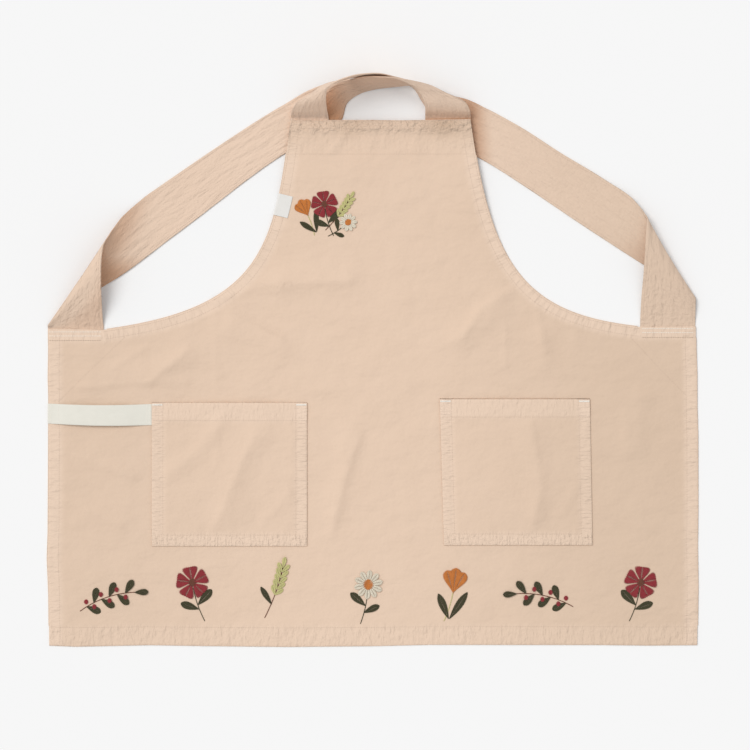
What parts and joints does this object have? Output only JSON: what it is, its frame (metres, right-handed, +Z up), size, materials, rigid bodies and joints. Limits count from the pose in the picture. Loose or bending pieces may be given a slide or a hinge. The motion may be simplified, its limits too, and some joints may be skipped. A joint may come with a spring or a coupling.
{
  "type": "cross-back smock apron",
  "caption": "Pale cloth work smock lying flat: bib and wide skirt in one panel, broad crossed straps rolled at the wings, patch pockets, towel tape and blank edge label.",
  "frame": {"origin": "centre of the bounding box in X and Y, on the surface the smock lies on", "axes": "+X across the garment to the right of the picture, +Y from the skirt hem to the straps, +Z up out of the front"},
  "size_m": [0.9106, 0.7968, 0.0721],
  "materials": {
    "cloth": "washed plain-weave cloth",
    "hem": "washed plain-weave cloth, turned and sewn",
    "strap": "doubled cloth, creased",
    "pocket": "washed plain-weave cloth",
    "tape": "off-white twill tape",
    "label": "pale woven label, blank"
  },
  "bodies": {
    "root": {"body_panel": "cloth", "bib_hem": "hem", "skirt_hem": "hem", "side_hem_left": "hem", "side_hem_right": "hem", "armhole_hem_left": "hem", "armhole_hem_right": "hem", "strap_left": "strap", "strap_right": "strap", "pocket_left": "pocket", "pocket_right": "pocket", "towel_loop": "tape", "label": "label"}
  },
  "joints": []
}
